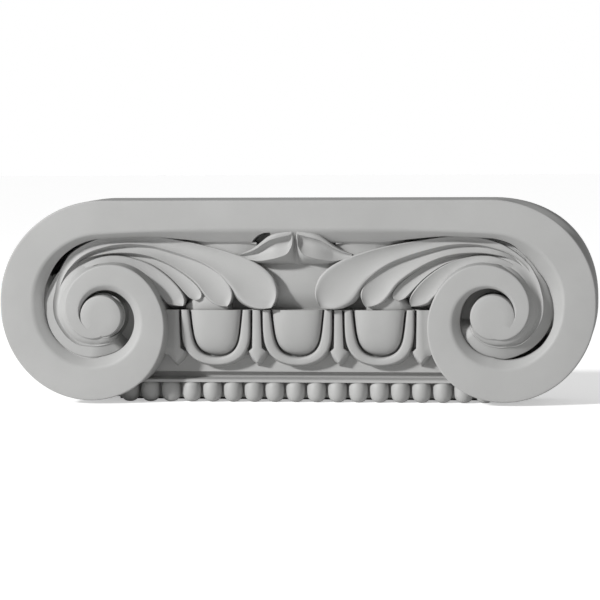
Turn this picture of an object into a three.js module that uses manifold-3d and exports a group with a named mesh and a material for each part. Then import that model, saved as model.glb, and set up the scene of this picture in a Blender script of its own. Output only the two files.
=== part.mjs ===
// Ionic capital of a pilaster, moulded in one piece, half as deep as a column's capital.
// Millimetres. X runs along the front, Y from the front to the flat back, Z up.
// The origin is at the middle of the underside's bounding rectangle.
import * as THREE from "three";
import { mergeVertices } from "three/addons/utils/BufferGeometryUtils.js";
import Module from "manifold-3d";

const wasm = await Module();
wasm.setup();

// Overall sizes
const width = 330;
const height = 113;
const depth = 50;

// Volutes: the band's outer edge is a spiral that ends on the eye
const eyeSpacing = 217;
const eyeHeight = 48.8;
const eyeRadius = 12.3;
const voluteClearance = 2.4;
const bandTuck = 0.6;
const shoulderWidth = 58;
const shoulderHeight = 55.5;

// Band: plain face, softened edges and a sloping inner wall
const bandHeight = 16.5;
const voluteBandWidth = 18.3;
const outerEdgeRound = 1;
const innerEdgeRound = 1.4;
const wallRun = 3.8;
const wallDepth = 13;

// Canal between the turns
const ledgeDepth = 3;
const ledgeWidth = 1.2;

// Hollow moulding on the rounded sides, between a front rim and a rear rim
const frontRim = 3;
const rearRim = 5;
const sideCoveDepth = 6;
const rearShoulder = 1.4;
const returnDraft = 2;

// Bell behind the leaves
const bellDepth = 17;

// Egg-and-dart moulding
const ovoloTop = 51.9;
const ovoloFront = 14;
const eggCount = 3;
const eggPitch = 45.6;
const eggWidth = 27.7;
const eggDrop = 25.5;
const eggFront = 8;
const crevice = 1.1;
const shellWidth = 5.8;
const shellDrop = 30.3;
const shellFront = 9.5;
const shellUnderside = 3;
const dartWidth = 4.1;
const dartHeadWidth = 11;
const dartHeadHeight = 8;
const dartFront = 10;

// Plain mouldings below the eggs
const groundTop = 20.8;
const groundBottom = 16.9;
const groundFront = 19;
const coveBottom = 13.6;
const coveBack = 22;
const filletTop = 12.6;
const filletBottom = 11.3;
const filletFront = 14.5;
const necking = 104;
const neckFront = 17.5;
const neckBottom = 2.1;
const bearingFront = 34;

// Bead row
const beadCount = 18;
const beadPitch = 11.7;
const beadRadius = 5.65;
const beadRowShift = 3.85;

const eyeX = eyeSpacing / 2;
const bandSteps = 8;
const shortestEdge = 0.35;
const voluteTurnQuarters = 6;

// A place given by its distance from the middle, its depth behind the face, and its height
function place(x, behind, z) {
  return new THREE.Vector3(x, behind - depth / 2, z);
}

// Closed solid through rings that all have the same number of points
function loft(rings) {
  const points = [];
  const count = rings[0].length;
  for (const ring of rings) {
    for (const point of ring) points.push(point.x, point.y, point.z);
  }
  const index = [];
  for (let i = 0; i + 1 < rings.length; i += 1) {
    for (let j = 0; j < count; j += 1) {
      const a = i * count + j;
      const b = i * count + ((j + 1) % count);
      index.push(a, b, b + count, a, b + count, a + count);
    }
  }
  for (const [ring, turned] of [[0, true], [rings.length - 1, false]]) {
    const middle = new THREE.Vector3();
    for (const point of rings[ring]) middle.addScaledVector(point, 1 / count);
    const centre = points.length / 3;
    points.push(middle.x, middle.y, middle.z);
    for (let j = 0; j < count; j += 1) {
      const a = ring * count + j;
      const b = ring * count + ((j + 1) % count);
      if (turned) index.push(b, a, centre);
      else index.push(a, b, centre);
    }
  }
  const geometry = new THREE.BufferGeometry();
  geometry.setAttribute("position", new THREE.Float32BufferAttribute(points, 3));
  geometry.setIndex(index);
  return facingOut(geometry);
}

function flipped(geometry) {
  const index = geometry.index.array;
  for (let i = 0; i < index.length; i += 3) {
    [index[i], index[i + 1]] = [index[i + 1], index[i]];
  }
  return geometry;
}

function facingOut(geometry) {
  const at = geometry.attributes.position;
  const index = geometry.index.array;
  const [a, b, c] = [new THREE.Vector3(), new THREE.Vector3(), new THREE.Vector3()];
  let volume = 0;
  for (let i = 0; i < index.length; i += 3) {
    a.fromBufferAttribute(at, index[i]);
    b.fromBufferAttribute(at, index[i + 1]);
    c.fromBufferAttribute(at, index[i + 2]);
    volume += a.dot(b.cross(c));
  }
  return volume < 0 ? flipped(geometry) : geometry;
}

// The same surface with shared corners merged
function welded(geometry) {
  const bare = geometry.clone();
  bare.deleteAttribute("normal");
  bare.deleteAttribute("uv");
  return mergeVertices(bare, 1e-4);
}

function solid(geometry) {
  const merged = welded(geometry);
  return new wasm.Manifold(new wasm.Mesh({
    numProp: 3,
    vertProperties: new Float32Array(merged.attributes.position.array),
    triVerts: new Uint32Array(merged.index.array),
  }));
}

function mirrored(geometry) {
  return flipped(welded(geometry).scale(-1, 1, 1));
}

// Draws together the ends of edges that are shorter than a length, while the surface stays closed
// and no face turns over
function withoutSlivers(mesh, shortest) {
  const corners = [];
  for (let i = 0; i < mesh.vertProperties.length; i += 3) {
    corners.push(new THREE.Vector3().fromArray(mesh.vertProperties, i));
  }
  const faces = [];
  const facesAt = corners.map(() => new Set());
  for (let i = 0; i < mesh.triVerts.length; i += 3) {
    faces.push([...mesh.triVerts.slice(i, i + 3)]);
    for (const corner of faces[faces.length - 1]) facesAt[corner].add(faces.length - 1);
  }
  const neighbours = (corner) => {
    const found = new Set([...facesAt[corner]].flatMap((face) => faces[face]));
    found.delete(corner);
    return found;
  };
  const areaVector = ([a, b, c]) => {
    const side = new THREE.Vector3().subVectors(corners[b], corners[a]);
    return side.cross(new THREE.Vector3().subVectors(corners[c], corners[a]));
  };
  const canMove = (from, to) => {
    for (const face of facesAt[from]) {
      if (faces[face].includes(to)) continue;
      const before = areaVector(faces[face]);
      const after = areaVector(faces[face].map((corner) => (corner === from ? to : corner)));
      const small = before.length() < shortest * shortest;
      if (after.length() < 1e-5) return false;
      if (!small && before.angleTo(after) > Math.PI / 9) return false;
    }
    return true;
  };
  const move = (from, to) => {
    for (const face of facesAt[from]) {
      if (faces[face].includes(to)) {
        for (const corner of faces[face]) if (corner !== from) facesAt[corner].delete(face);
        faces[face] = null;
      } else {
        faces[face] = faces[face].map((corner) => (corner === from ? to : corner));
        facesAt[to].add(face);
      }
    }
    facesAt[from].clear();
  };
  for (let moved = true; moved;) {
    moved = false;
    for (let from = 0; from < corners.length; from += 1) {
      for (const to of neighbours(from)) {
        if (corners[from].distanceTo(corners[to]) >= shortest) continue;
        const around = neighbours(to);
        const shared = [...neighbours(from)].filter((corner) => around.has(corner));
        if (shared.length !== 2 || !canMove(from, to)) continue;
        move(from, to);
        moved = true;
        break;
      }
    }
  }
  const geometry = new THREE.BufferGeometry();
  const flat = faces.filter((face) => face).flat().flatMap((corner) => corners[corner].toArray());
  geometry.setAttribute("position", new THREE.Float32BufferAttribute(flat, 3));
  return mergeVertices(geometry, 1e-5);
}

// Radius of the band's outer edge at a number of quarter turns from the top, going outward
const shoulder = new THREE.Vector2(width / 2 - shoulderWidth, height - shoulderHeight);
const spiralStart = 1 - Math.atan2(shoulder.y - eyeHeight, width / 2 - eyeX) / (Math.PI / 2);

function shoulderRadius(quarters) {
  const angle = quarters * Math.PI / 2;
  const across = Math.sin(angle) / shoulderWidth;
  const upward = Math.cos(angle) / shoulderHeight;
  const startX = (eyeX - shoulder.x) / shoulderWidth;
  const startZ = (eyeHeight - shoulder.y) / shoulderHeight;
  const a = across * across + upward * upward;
  const b = across * startX + upward * startZ;
  const c = startX * startX + startZ * startZ - 1;
  return (Math.sqrt(b * b - a * c) - b) / a;
}

const radiusAtStart = shoulderRadius(spiralStart);
const footDrop = radiusAtStart - (eyeHeight - voluteClearance);
const eyeDrop = radiusAtStart - (eyeRadius - bandTuck);
const footSpan = 2 - spiralStart;
const eyeSpan = voluteTurnQuarters - spiralStart;
const spiralEase = (footDrop / footSpan - eyeDrop / eyeSpan) / (eyeSpan - footSpan);
const spiralPitch = footDrop / footSpan + spiralEase * footSpan;

function outerRadius(quarters) {
  if (quarters <= spiralStart) return shoulderRadius(quarters);
  const along = quarters - spiralStart;
  return radiusAtStart - spiralPitch * along + spiralEase * along * along;
}

const bandEndWidth = outerRadius(5) - eyeRadius;

function faceWidth(quarters) {
  if (quarters <= 2) return voluteBandWidth;
  return THREE.MathUtils.mapLinear(quarters, 2, 5, voluteBandWidth, bandEndWidth);
}

function innerRadius(quarters) {
  return outerRadius(quarters) - faceWidth(quarters);
}

// What bounds the canal on the side of the eye
function canalCore(quarters) {
  const next = quarters + 4;
  return next < voluteTurnQuarters ? Math.max(outerRadius(next), eyeRadius) : eyeRadius;
}

// The sloping wall's reach sideways and back: both close in where the canal narrows to the eye
function canalWidth(quarters) {
  return Math.max(innerRadius(quarters) - canalCore(quarters), 0.1);
}

function runAt(quarters) {
  return Math.min(wallRun, 0.8 * canalWidth(Math.max(quarters, 0)));
}

function footDepth(quarters) {
  const share = canalWidth(Math.max(quarters, 0)) / canalWidth(2);
  return wallDepth * Math.sqrt(THREE.MathUtils.clamp(share, 0.001, 1));
}

function onVolute(quarters, radius, behind) {
  const angle = quarters * Math.PI / 2;
  const x = eyeX + radius * Math.sin(angle);
  const z = eyeHeight + radius * Math.cos(angle);
  return place(x, behind, z);
}

// Depth of the hollow side moulding, none on the straight top and on the inner side
function sideCove(quarters) {
  const rise = THREE.MathUtils.smoothstep(quarters, 0, 0.5);
  const fall = THREE.MathUtils.smoothstep(quarters, 1.9, 2.4);
  return sideCoveDepth * (rise - fall);
}

// Outer side of the band as pairs of inward offset and depth, from the face to the back
function outerSide(quarters) {
  const inside = quarters > 3.2;
  const back = inside ? bellDepth + 3 : depth;
  const cove = sideCove(quarters);
  const draft = returnDraft * THREE.MathUtils.smoothstep(quarters, 2, 2.6);
  const swell = rearShoulder * Math.sin(Math.PI * THREE.MathUtils.clamp(quarters / spiralStart, 0, 1)) ** 2;
  const coveBackAt = back - rearRim;
  const side = [[outerEdgeRound, 0], [0, outerEdgeRound], [0, frontRim]];
  for (const share of [0.06, 0.3, 0.7]) {
    const hollow = cove * Math.sin(Math.PI * Math.sqrt(share));
    const at = THREE.MathUtils.lerp(frontRim, coveBackAt, share);
    side.push([hollow - draft * at / back, at]);
  }
  side.push([-swell - draft * coveBackAt / back, coveBackAt]);
  side.push([-swell - draft, back]);
  return side;
}

// Full section of the band: outer side, back, sloping inner wall and face
function bandSection(quarters, wide, at) {
  const side = outerSide(quarters);
  const back = side[side.length - 1][1];
  const run = wide + runAt(quarters);
  const foot = footDepth(quarters);
  const round = innerEdgeRound * Math.min(1, foot / 4 + 0.1);
  const section = [
    ...side,
    [run, back],
    [run, foot + 0.5],
    [wide + 0.4 * round, round],
    [wide - round, 0],
  ];
  return section.map(([inward, behind]) => at(inward, behind));
}

function bandRing(quarters) {
  const outer = outerRadius(quarters);
  const wide = outer - innerRadius(quarters);
  return bandSection(quarters, wide, (inward, behind) => {
    return onVolute(quarters, Math.max(outer - inward, 1), behind);
  });
}

function straightRing(x) {
  const wide = THREE.MathUtils.lerp(bandHeight, voluteBandWidth, (x / eyeX) ** 4);
  return bandSection(0, wide, (inward, behind) => place(x, behind, height - inward));
}

function mirroredRing(ring) {
  return ring.map((point) => new THREE.Vector3(-point.x, point.y, point.z));
}

// The whole band in one sweep: left volute, straight top, right volute
function band() {
  const half = [0, 0.5, 0.8].map((share) => straightRing(share * eyeX));
  const steps = voluteTurnQuarters * bandSteps;
  for (let i = 0; i <= steps; i += 1) half.push(bandRing(i / bandSteps));
  const left = half.slice(1).reverse().map(mirroredRing);
  return loft([...left, ...half]);
}

function eye() {
  const disc = new THREE.CylinderGeometry(eyeRadius, eyeRadius, depth - 2, 36);
  const middle = place(eyeX, depth / 2 - 1, eyeHeight);
  disc.translate(middle.x, middle.y, middle.z);
  return disc;
}

// Floor of the canal: a narrow ledge by the inner turn, then a slope down to the band's foot
function canalFloor() {
  const rings = [];
  const back = bellDepth + 3;
  for (let i = -3; i <= 5 * bandSteps - 2; i += 1) {
    const quarters = i / bandSteps;
    const core = canalCore(quarters);
    const foot = footDepth(quarters);
    const slot = THREE.MathUtils.smoothstep(quarters, 3, 3.4);
    const ledge = THREE.MathUtils.lerp(ledgeDepth, foot, slot);
    const wall = innerRadius(Math.max(quarters, 0));
    const ledgeEdge = core + Math.min(ledgeWidth, 0.1 * canalWidth(Math.max(quarters, 0)));
    const floor = [
      [core - 2, ledge],
      [ledgeEdge, ledge],
      [Math.max(wall - runAt(quarters), ledgeEdge + 0.2), foot],
      [wall + 2, foot + 1.5],
      [wall + 2, back],
      [core - 2, back],
    ];
    rings.push(floor.map(([radius, behind]) => onVolute(quarters, radius, behind)));
  }
  return loft(rings);
}

// The body between the volutes ends inside their inner sides
const bodyHalf = eyeX - outerRadius(3) + 6;

// Solid core of a volute, hidden inside the band's walls
function voluteCore() {
  const outline = [];
  for (let i = 0; i <= 3 * bandSteps; i += 1) {
    const quarters = i / bandSteps;
    const angle = quarters * Math.PI / 2;
    const radius = outerRadius(quarters) - sideCoveDepth - 5;
    outline.push(new THREE.Vector2(
      eyeX + radius * Math.sin(angle), eyeHeight + radius * Math.cos(angle)));
  }
  outline.push(new THREE.Vector2(bodyHalf - 3, eyeHeight));
  outline.push(new THREE.Vector2(bodyHalf - 3, height - bandHeight));
  return upright(new THREE.Shape(outline), bellDepth, depth - bellDepth);
}

// Extrudes an outline drawn as the front sees it, from a depth backwards
function upright(shape, front, length) {
  const geometry = new THREE.ExtrudeGeometry(shape, { depth: length, bevelEnabled: false, curveSegments: 6 });
  geometry.applyMatrix4(new THREE.Matrix4().makeBasis(
    new THREE.Vector3(1, 0, 0), new THREE.Vector3(0, 0, 1), new THREE.Vector3(0, -1, 0)));
  return geometry.translate(0, front + length - depth / 2, 0);
}

// Extrudes a profile of depth and height along the front
function moulding(profile, halfLength) {
  const shape = new THREE.Shape(profile.map(([behind, z]) => new THREE.Vector2(behind, z)));
  const geometry = new THREE.ExtrudeGeometry(shape, { depth: 2 * halfLength, bevelEnabled: false });
  geometry.applyMatrix4(new THREE.Matrix4().makeBasis(
    new THREE.Vector3(0, 1, 0), new THREE.Vector3(0, 0, 1), new THREE.Vector3(1, 0, 0)));
  return geometry.translate(-halfLength, -depth / 2, 0);
}

// Bell and ovolo ground between the volutes
function body() {
  const profile = [[depth, groundTop - 1], [depth, height - bandHeight / 2]];
  profile.push([bellDepth, height - bandHeight / 2], [bellDepth, ovoloTop]);
  const ovoloSteps = 5;
  for (let i = 0; i <= ovoloSteps; i += 1) {
    const turn = i / ovoloSteps * Math.PI / 2;
    const behind = THREE.MathUtils.lerp(groundFront, ovoloFront, Math.cos(turn));
    const z = THREE.MathUtils.lerp(ovoloTop, groundTop, Math.sin(turn) ** 1.6);
    profile.push([behind, z]);
  }
  profile.push([groundFront, groundTop - 1]);
  return moulding(profile, bodyHalf);
}

// Fillet, cove and lower fillet, which run on behind the volutes
function lowerMouldings() {
  const profile = [[depth, filletBottom - 1], [depth, groundTop], [groundFront, groundTop]];
  profile.push([groundFront, groundBottom]);
  const coveSteps = 4;
  for (let i = 1; i <= coveSteps; i += 1) {
    const turn = i / coveSteps * Math.PI / 2;
    const behind = THREE.MathUtils.lerp(groundFront, coveBack, Math.sin(turn));
    const z = THREE.MathUtils.lerp(coveBottom, groundBottom, Math.cos(turn));
    profile.push([behind, z]);
  }
  profile.push([filletFront + 0.6, filletTop + 0.4], [filletFront, filletTop], [filletFront, filletBottom]);
  profile.push([coveBack, filletBottom - 1]);
  return moulding(profile, necking - 6);
}

// Wall behind the beads and the face that rests on the shaft
function neck() {
  const profile = [
    [neckFront, neckBottom], [neckFront, filletBottom + 0.4], [depth, filletBottom + 0.4], [depth, 0],
    [bearingFront, 0], [bearingFront - 1, neckBottom],
  ];
  return moulding(profile, necking);
}

function beads() {
  const row = [];
  for (let i = 0; i < beadCount; i += 1) {
    const bead = new THREE.SphereGeometry(beadRadius, 10, 6).rotateX(Math.PI / 2);
    const x = (i - (beadCount - 1) / 2) * beadPitch + beadRowShift;
    const middle = place(x, neckFront - 0.6, beadRadius);
    row.push(bead.translate(middle.x, middle.y, middle.z));
  }
  return row;
}

// Share of the full width and bulge that a U-shaped outline keeps at a share of its drop
const straightShare = 0.3;

function rounding(share) {
  const below = Math.max(0, (share - straightShare) / (1 - straightShare));
  return Math.sqrt(Math.max(0, 1 - below * below));
}

// How far the ovolo's curve has carried a form back at a height
function ovoloLean(z) {
  const share = THREE.MathUtils.clamp((ovoloTop - z) / (ovoloTop - groundTop), 0, 1);
  return (1 - Math.sqrt(1 - share * share * 0.96)) * (groundFront - ovoloFront + 1.5);
}

function egg(x) {
  const rings = [];
  const levels = [0, 0.2, 0.4, 0.58, 0.73, 0.85, 0.94, 0.985, 1];
  const around = 10;
  for (const share of levels) {
    const z = ovoloTop - eggDrop * share;
    const keep = Math.max(rounding(share), 0.06);
    const ring = [];
    for (let j = 0; j <= around; j += 1) {
      const angle = (j / around - 0.5) * Math.PI;
      const bulge = (ovoloFront + 1.5 - eggFront) * keep ** 0.8 * Math.cos(angle) ** 0.85;
      const across = eggWidth / 2 * keep * Math.sin(angle);
      ring.push(place(x + across, ovoloFront + 1.5 + ovoloLean(z) - bulge, z));
    }
    ring.push(place(x + eggWidth / 2 * keep, groundFront + 3, z));
    ring.push(place(x - eggWidth / 2 * keep, groundFront + 3, z));
    rings.push(ring);
  }
  return loft(rings);
}

// A shell is a rim bent round its egg like a U
function shell(x) {
  const inner = eggWidth / 2 + crevice;
  const innerDrop = eggDrop + crevice * 0.9;
  const stations = [];
  for (const share of [0, 0.15]) stations.push([1, share]);
  const bend = 8;
  for (let i = 0; i <= bend; i += 1) {
    const angle = i / bend * Math.PI / 2;
    stations.push([Math.cos(angle), straightShare + (1 - straightShare) * Math.sin(angle)]);
  }
  const ring = (side, [across, share]) => {
    const zIn = ovoloTop - innerDrop * share;
    const zOut = ovoloTop - shellDrop * share;
    const lean = ovoloLean(zIn);
    const under = shellUnderside * share ** 3;
    const xIn = inner * across;
    const xOut = (inner + shellWidth) * across;
    const section = [
      [xIn, groundFront + 3, zIn],
      [xIn, shellFront + lean + 2.5, zIn],
      [THREE.MathUtils.lerp(xIn, xOut, 0.25), shellFront + lean, THREE.MathUtils.lerp(zIn, zOut, 0.25)],
      [THREE.MathUtils.lerp(xIn, xOut, 0.8), shellFront + lean * 0.9, THREE.MathUtils.lerp(zIn, zOut, 0.8)],
      [xOut, shellFront + lean * 0.9 + 1.5, zOut],
      [xOut + 0.4 * across, groundFront + 3, zOut - under],
    ];
    return section.map(([dx, behind, z]) => place(x + side * dx, behind, z));
  };
  const left = stations.map((station) => ring(-1, station));
  const right = stations.slice(0, -1).reverse().map((station) => ring(1, station));
  return loft([...left, ...right]);
}

// A dart's shaft hangs between two shells and ends in a ridged arrowhead
function dart(x) {
  const headTop = groundTop + dartHeadHeight;
  const levels = [
    [ovoloTop, dartWidth / 2, dartFront],
    [headTop + 8, dartWidth / 2 + 0.3, dartFront + 1],
    [headTop, dartWidth / 2 + 0.8, dartFront + 2.2],
    [headTop - 1, dartHeadWidth / 2, dartFront + 2.4],
    [groundTop, 0.6, dartFront + 6],
  ];
  const rings = levels.map(([z, half, front]) => [
    place(x - half, groundFront + 3, z),
    place(x - half, front + 2.4, z),
    place(x - half * 0.4, front, z),
    place(x + half * 0.4, front, z),
    place(x + half, front + 2.4, z),
    place(x + half, groundFront + 3, z),
  ]);
  return loft(rings);
}

// A lobe of the leaf between two edges that run from the root to the tip.
// Each edge is a list of distance from the middle and height. The depths are
// behind the face at the root, half way and at the tip.
function lobe({ outer, inner, depths, dish, tuck, steps = 14 }) {
  const edges = [outer, inner].map((edge) => {
    return new THREE.SplineCurve(edge.map(([x, z]) => new THREE.Vector2(x, z)));
  });
  const rim = new THREE.SplineCurve(depths.map((behind, i) => {
    return new THREE.Vector2(i / (depths.length - 1), behind);
  }));
  const rings = [];
  for (let i = 0; i <= steps; i += 1) {
    const along = i / steps;
    const a = edges[0].getPointAt(along);
    const b = edges[1].getPointAt(along);
    const across = b.clone().sub(a);
    const spread = across.length();
    across.divideScalar(Math.max(spread, 0.01));
    const behind = rim.getPoint(along).y;
    const sag = dish * Math.min(1, spread / 8);
    const ring = [];
    const base = bellDepth + 2;
    for (const share of [0, 0.08, 0.3, 0.55, 0.8, 0.94, 1]) {
      const spot = a.clone().addScaledVector(across, spread * share);
      const hollow = sag * (1 - (2 * share - 1) ** 2);
      const tucked = tuck * (1 - along) * (1 - share) ** 2;
      const edgeDrop = share === 0 || share === 1 ? 0.8 : 0;
      ring.push(place(spot.x, behind + hollow + tucked + edgeDrop, spot.y));
    }
    const slope = 1.2;
    const low = b.clone().addScaledVector(across, slope);
    const high = a.clone().addScaledVector(across, -slope);
    ring.push(place(low.x, base, low.y), place(high.x, base, high.y));
    rings.push(ring);
  }
  return loft(rings);
}

// Point in the canal of a volute, for the leaf's root
function canalPoint(quarters, radius) {
  const angle = quarters * Math.PI / 2;
  return [eyeX + radius * Math.sin(angle), eyeHeight + radius * Math.cos(angle)];
}

function leaf() {
  const root = lobe({
    outer: [canalPoint(2, 17), canalPoint(1.5, 21.5), canalPoint(1, 27), canalPoint(0.69, 29.8),
      canalPoint(0.5, 32.6), canalPoint(0.33, 35.6), canalPoint(0.19, 39), [108.5, 90], [98, 91.2],
      [88, 91.8]],
    inner: [canalPoint(2, 14.5), canalPoint(1.5, 18.4), canalPoint(1, 22.8), canalPoint(0.55, 26),
      canalPoint(0.3, 28.4), canalPoint(0.05, 29.8), [97, 78], [88, 75.5]],
    depths: [4.5, 5, 6, 8, 13.5],
    dish: 1,
    tuck: 0,
  });
  const blades = [
    {
      outer: [[104, 90.4], [92, 92.2], [81, 92.3], [66.5, 90.4], [52, 88.2], [38.5, 84], [24, 78.4],
        [15, 72.8], [10.4, 66.8], [9.8, 62], [10.8, 57], [13.5, 53.6]],
      inner: [[102, 87.6], [93, 88.6], [82, 88], [72, 86.2], [62, 83.4], [53.5, 79.5], [46.5, 75.2],
        [41.6, 71], [37.6, 66.6], [33, 61], [28, 57], [21, 54.6], [13.5, 53.6]],
      depths: [10.5, 10.5, 10.5, 7.5, 4.5],
      dish: 2,
      tuck: 0,
    },
    {
      outer: [[101, 88], [82, 87.6], [72, 85.8], [62, 83], [53, 79], [46, 74.8], [41, 70.6], [37.2, 66.2],
        [35.7, 61], [36.8, 56.4], [39.5, 53.6]],
      inner: [[98, 84], [89, 82.6], [81, 80.4], [73, 77.4], [65, 73], [59.5, 69], [55, 65], [51, 60.2],
        [46.5, 56], [39.5, 53.6]],
      depths: [11, 10.8, 10.5, 8, 6],
      dish: 2,
      tuck: 2.4,
    },
    {
      outer: [[97, 84], [81, 80.2], [73, 77.2], [65, 72.8], [58.5, 68], [54.5, 63.5], [53, 60], [54, 57]],
      inner: [[96, 81], [88, 80.4], [78, 77.2], [71.6, 73.3], [66.5, 69.2], [62.8, 64.6], [60.6, 60],
        [57, 56]],
      depths: [11, 11.4, 11.6, 11, 10],
      dish: 1.2,
      tuck: 2.2,
    },
    {
      outer: [[96, 81], [86, 80], [78, 77], [71.6, 73], [66.3, 69], [62.9, 64.4], [62.2, 60], [62.6, 54.6]],
      inner: [[95, 77.6], [88, 74.6], [81, 70.6], [76.4, 65.6], [73, 61], [70.3, 57], [66, 55]],
      depths: [11, 11, 10.5, 9, 8],
      dish: 1.6,
      tuck: 2.2,
    },
  ];
  return [root, ...blades.map(lobe)];
}

// Curled leaf in the middle: two hollowed lobes that meet at an upright fold
function centralLeaf() {
  const half = [[1, 95.4, 83.4], [5, 95.3, 83.6], [11, 94.2, 84], [16, 91.6, 84.2], [21, 88, 83.8],
    [26, 85.4, 83.2], [31, 83.4, 82.4]];
  const middle = [0, 95.2, 83.2];
  const stations = [...half.slice().reverse().map(([x, top, low]) => [-x, top, low]), middle, ...half];
  const rings = stations.map(([x, top, low]) => {
    const fold = Math.max(0, 1.6 - Math.abs(x) * 0.5);
    const fade = Math.min(1, (top - low) / 8);
    const ring = [[0, 1.2], [0.12, 0], [0.4, 3.2], [0.7, 3.4], [0.95, 0.8], [1, 1.6]];
    const front = ring.map(([share, hollow]) => {
      return place(x, 6.5 + hollow * fade + fold, THREE.MathUtils.lerp(top, low, share));
    });
    return [...front, place(x, bellDepth + 2, low - 1.5), place(x, bellDepth + 2, top + 0.5)];
  });
  return loft(rings);
}

const pieces = [band(), body(), lowerMouldings(), neck(), ...beads(), centralLeaf()];
for (const half of [eye(), canalFloor(), voluteCore(), ...leaf()]) {
  pieces.push(half, mirrored(half));
}
for (let i = 0; i < eggCount; i += 1) {
  const x = (i - (eggCount - 1) / 2) * eggPitch;
  pieces.push(egg(x), shell(x));
}
for (let i = 0; i <= eggCount; i += 1) pieces.push(dart((i - eggCount / 2) * eggPitch));

let whole = solid(pieces[0]);
for (const piece of pieces.slice(1)) whole = whole.add(solid(piece));
const geometry = withoutSlivers(whole.getMesh(), shortestEdge);
geometry.computeVertexNormals();

const capital = new THREE.Mesh(
  geometry,
  new THREE.MeshStandardMaterial({ color: 0xd9d8d6, roughness: 0.62, metalness: 0 }),
);
capital.name = "ionic_capital";

const group = new THREE.Group();
group.add(capital);
export default group;
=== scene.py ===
# Moulded Ionic capital of a pilaster: band and volutes, canal, half leaves, central leaf,
# egg-and-dart, plain mouldings and bead row, cast in one piece and primed.
import bpy
import math
import numpy as np
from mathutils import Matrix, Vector


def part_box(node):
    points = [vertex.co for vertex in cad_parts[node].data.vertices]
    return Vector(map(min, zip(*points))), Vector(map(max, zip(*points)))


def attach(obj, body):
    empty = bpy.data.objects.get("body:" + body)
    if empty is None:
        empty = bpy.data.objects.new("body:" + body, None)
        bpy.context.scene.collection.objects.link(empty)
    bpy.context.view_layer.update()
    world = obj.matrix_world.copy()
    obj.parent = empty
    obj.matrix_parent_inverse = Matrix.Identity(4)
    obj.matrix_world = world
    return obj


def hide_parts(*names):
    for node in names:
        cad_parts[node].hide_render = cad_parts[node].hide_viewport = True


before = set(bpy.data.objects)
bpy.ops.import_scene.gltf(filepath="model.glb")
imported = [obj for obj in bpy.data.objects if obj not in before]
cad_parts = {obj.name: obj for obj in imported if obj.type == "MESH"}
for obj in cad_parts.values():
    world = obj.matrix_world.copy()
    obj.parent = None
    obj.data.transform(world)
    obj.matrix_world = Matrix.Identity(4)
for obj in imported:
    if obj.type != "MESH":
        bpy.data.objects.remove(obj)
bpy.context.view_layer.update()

# Millimetres, taken from the solid where it gives them
NODE = "ionic_capital"
MM = 0.001
lowest, highest = [np.array(corner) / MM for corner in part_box(NODE)]
WIDTH, DEPTH, HEIGHT = highest - lowest
FRONT = lowest[1]

EYE_X = 108.5
EYE_Z = 48.8
EYE_RADIUS = 12.3
LEFT_EYE_RADIUS = 11.6
VOLUTE_CLEARANCE = 2.4
BAND_TUCK = 0.6
SHOULDER_WIDTH = 58.0
SHOULDER_HEIGHT = 55.5
BAND_HEIGHT = 16.5
VOLUTE_BAND_WIDTH = 18.3
INNER_SIDE_CUT = 1.8
OUTER_ROUND = 1.1
INNER_ROUND = 1.5
SPLAY_DEPTH = 6.5
SPLAY_SLOPE = 0.95
SLOT_DEPTH = 20.0
SLOT_LIP = 2.5
SLOT_CUT_FRONT = 14
SLOT_CUT_BACK = 38.0
CANAL_DEPTH = 7.6
STEM_DISH = 1.5
LEFT_RISE = 2.0
UNDERCUT = 3.0
FRONT_RIM = 1.6
REAR_RIM = 5.0
SIDE_COVE = 6.0
REAR_SHOULDER = 1.4
RETURN_DRAFT = 2.0
BELL_DEPTH = 17.0
BACK_CHAMFER = 0.6

# How far back the solids behind the bell's face run, so that each overlaps the next
FILL_BACK = BELL_DEPTH + 5
LEDGE_BACK = BELL_DEPTH + 6
WEB_BACK = BELL_DEPTH + 8
LEAF_BACK = BELL_DEPTH + 9
CORE_COVER = 5

OVOLO_TOP = 51.9
OVOLO_FRONT = 14.0
EGG_PITCH = 45.6
EGG_COUNT = 3
EGG_HALF = 14.0
EGG_DROP = 25.5
EGG_FRONT = 8.0
CREVICE = 1.2
SHELL_HALF = 19.3
SHELL_DROP = 31.0
SHELL_FRONT = 9.5
SHELL_UNDERSIDE = 2.4
DART_REACH = 9
BED = 19.5
GROUND_TOP = 20.8
GROUND_BOTTOM = 16.9
GROUND_FRONT = 19.0
EGG_BACK = GROUND_FRONT + 4
COVE_BOTTOM = 13.6
COVE_BACK = 22.8
FILLET_TOP = 12.6
FILLET_BOTTOM = 11.3
FILLET_FRONT = 14.5
NECK_HALF = 104.0
COVE_HALF = NECK_HALF - 6
NECK_FRONT = 21.0
NECK_BOTTOM = 2.4
BEARING_FRONT = 34.0
BEAD_COUNT = 18
BEAD_AXIS = 19.3
BEAD_PITCH = 11.7
BEAD_ROW_SHIFT = 3.85

BAND_STEPS = 36
SHARP_ANGLE = 34


def smooth(value, start, end):
    """Rises from 0 to 1 between two values, or falls where the first is the larger."""
    if end < start:
        return 1 - smooth(value, end, start)
    share = np.clip((value - start) / (end - start), 0, 1)
    return share * share * (3 - 2 * share)


def read_off(place, table):
    """Value at a place in a short table of places and values."""
    places, values = np.array(table).T
    return float(np.interp(place, places, values))


def mix(a, b, share):
    return a + (b - a) * share


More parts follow.
